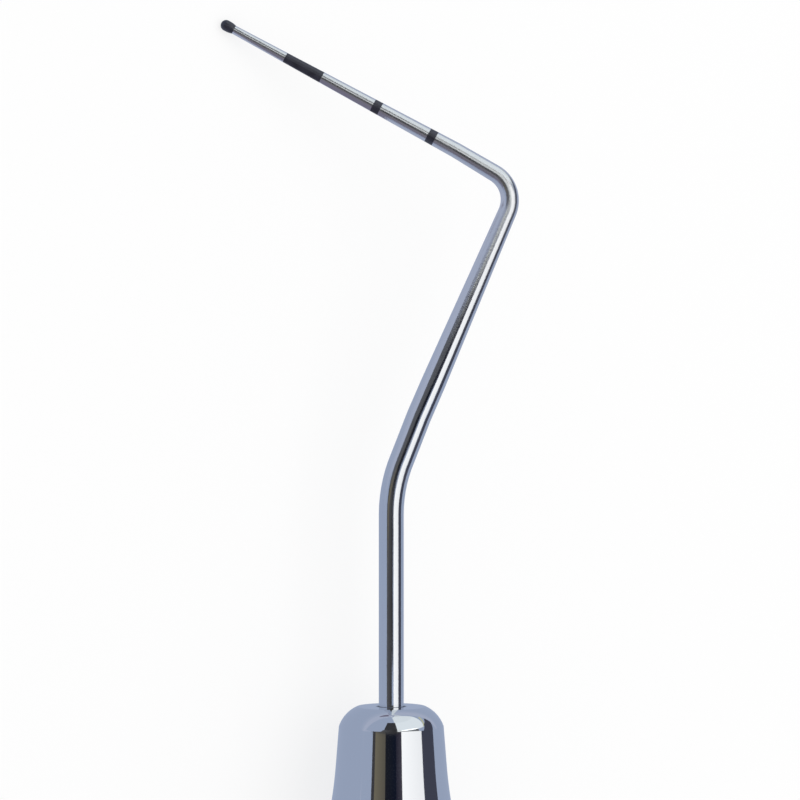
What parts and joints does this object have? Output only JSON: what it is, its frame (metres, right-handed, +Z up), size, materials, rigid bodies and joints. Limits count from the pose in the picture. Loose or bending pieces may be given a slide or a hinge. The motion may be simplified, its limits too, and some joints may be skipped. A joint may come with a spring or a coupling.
{
  "type": "periodontal probe",
  "caption": "Slim hand instrument with a straight round hollow handle, a bent ground shank and a tapered ball-ended tine marked with black depth bands.",
  "frame": {"origin": "on the handle axis, at the middle of the cylindrical grip", "axes": "+X along the handle axis towards the working end, +Z up from the table that the probe lies on"},
  "size_m": [0.1635, 0.0128, 0.008],
  "materials": {
    "handle_steel": "mirror-polished stainless steel",
    "shank_steel": "finely ground and polished stainless steel",
    "black_mark": "dull black inlay"
  },
  "bodies": {
    "root": {"shank": "shank_steel", "ball_coat": "black_mark", "depth_band": "black_mark", "depth_ring_1": "black_mark", "depth_ring_2": "black_mark", "handle_nose": "handle_steel", "handle_tube": "handle_steel", "end_cap": "handle_steel"}
  },
  "joints": []
}
